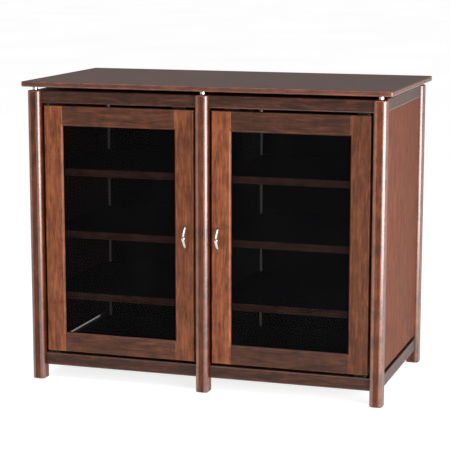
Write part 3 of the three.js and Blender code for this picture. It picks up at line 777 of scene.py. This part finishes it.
CATCH_LONG = 0.046
CATCH_DEEP = 0.014
STRIKE_THICK = 0.0012
STRIKE_HIGH = 0.013
STRIKE_LONG = 0.036
STRIKE_BELOW_TOP = 0.002
CATCH_FROM_PARTITION = 0.050
CATCH_BELOW_STRIKE_MIDDLE = 0.005
CATCH_CLEARANCE = 0.0005
SURFACE_CLEARANCE = 0.0001
POLE_LEVEL = 0.0028
POLE_SIZE = (CATCH_LONG * 0.8, 0.0009, 0.0012)
HOUSING_EASE = 0.0012
POLE_EASE = 0.0002
STRIKE_EASE = 0.0003

catch_black = black_vinyl()
catch_black.name = "catch_black"
for side, away in (("left", -1), ("right", 1)):
    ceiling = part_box("case_top")[0].z
    rail_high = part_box(f"{side}_door_top_rail")[1]
    door_back = rail_high.y
    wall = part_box("partition")
    near = wall[1].x if away > 0 else wall[0].x
    middle_x = near + away * (CATCH_FROM_PARTITION + CATCH_LONG / 2)
    strike_z = rail_high.z - STRIKE_HIGH / 2 - STRIKE_BELOW_TOP
    half = CATCH_LONG / 2
    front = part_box("case_top")[0].y + CATCH_CLEARANCE

    housing = board(
        (middle_x - half, front, strike_z - CATCH_BELOW_STRIKE_MIDDLE),
        (middle_x + half, front + CATCH_DEEP, ceiling - SURFACE_CLEARANCE),
    )
    round_over(housing, list(housing.edges), HOUSING_EASE, 3)
    finished(housing, f"{side}_catch_housing", catch_black, "case")

    poles = bmesh.new()
    for level in (-POLE_LEVEL, POLE_LEVEL):
        bmesh.ops.create_cube(poles, size=1.0, matrix=(
            Matrix.Translation((middle_x, front - CATCH_CLEARANCE, strike_z + level))
            @ Matrix.Diagonal((*POLE_SIZE, 1.0))
        ))
    round_over(poles, list(poles.edges), POLE_EASE, 2)
    finished(poles, f"{side}_catch_poles", pivot_steel, "case")

    strike = board(
        (middle_x - STRIKE_LONG / 2, door_back + SURFACE_CLEARANCE, strike_z - STRIKE_HIGH / 2),
        (middle_x + STRIKE_LONG / 2, door_back + STRIKE_THICK, strike_z + STRIKE_HIGH / 2),
    )
    round_over(strike, list(strike.edges), STRIKE_EASE, 2)
    door = body_of(f"{side}_door_top_rail")
    finished(strike, f"{side}_catch_strike", pivot_steel, door)


# ---- The studio ----
# A pale seamless floor, an even white surround, a broad soft light in front and above, and
# a wide low one on the right that draws the bright lines down the posts.

def seamless_floor():
    material, flow = blank_finish("seamless_floor")
    place = flow.node("TexCoord", output="Object")
    cloudy = place.noise(0.6, detail=3.0)
    lay_on(flow, {
        "Base Color": cloudy.blend(stain(206, 206, 206), stain(214, 214, 214)),
        "Roughness": cloudy * 0.1 + 0.75,
        "Specular IOR Level": 0.1,
        "Emission Color": cloudy.blend(stain(246, 246, 246), stain(255, 255, 255)),
        "Emission Strength": 0.82,
    })
    return material


FLOOR_REACH = 60.0
FLOOR_TOP = -0.0002
FLOOR_UNDERSIDE = -0.02
floor = board(
    (-FLOOR_REACH, -FLOOR_REACH, FLOOR_UNDERSIDE), (FLOOR_REACH, FLOOR_REACH, FLOOR_TOP),
)
floor_data = bpy.data.meshes.new("studio_floor")
floor.to_mesh(floor_data)
floor.free()
floor_data.materials.append(seamless_floor())
studio_floor = bpy.data.objects.new("studio_floor", floor_data)
bpy.context.scene.collection.objects.link(studio_floor)

surround = bpy.data.worlds.new("white_surround")
surround.use_nodes = True
surround.node_tree.nodes["Background"].inputs["Color"].default_value = (1.0, 1.0, 1.0, 1.0)
surround.node_tree.nodes["Background"].inputs["Strength"].default_value = 0.3
bpy.context.scene.world = surround


def soft_light(name, at, towards, width, height, power):
    """A rectangular diffuser that faces a point."""
    light = bpy.data.lights.new(name, "AREA")
    light.shape = "RECTANGLE"
    light.size = width
    light.size_y = height
    light.energy = power
    lamp = bpy.data.objects.new(name, light)
    lamp.location = at
    lamp.visible_camera = False
    lamp.rotation_euler = (Vector(towards) - Vector(at)).to_track_quat("-Z", "Y").to_euler()
    bpy.context.scene.collection.objects.link(lamp)


cabinet_middle = (cad_box[0] + cad_box[1]) / 2
soft_light("overhead_softbox", (-0.6, -1.6, 3.6), cabinet_middle, 3.0, 2.4, 60)
soft_light("right_softbox", (2.05, -1.45, 0.52), (0.1, -0.3, 0.46), 2.6, 1.0, 84)

camera = bpy.data.cameras.new("camera")
camera.sensor_width = 36.0
camera.lens = 128.97
camera.shift_x = 0.0033
camera.shift_y = 0.0072
camera.clip_end = 200.0
LOOKING_DOWN = 9.890
ROUND_TO_THE_RIGHT = 17.817
viewpoint = bpy.data.objects.new("camera", camera)
viewpoint.location = (1.4960, -4.7206, 1.3174)
viewpoint.rotation_euler = (math.radians(90 - LOOKING_DOWN), 0, math.radians(ROUND_TO_THE_RIGHT))
bpy.context.scene.collection.objects.link(viewpoint)
bpy.context.scene.camera = viewpoint
bpy.context.scene.view_settings.view_transform = "Standard"
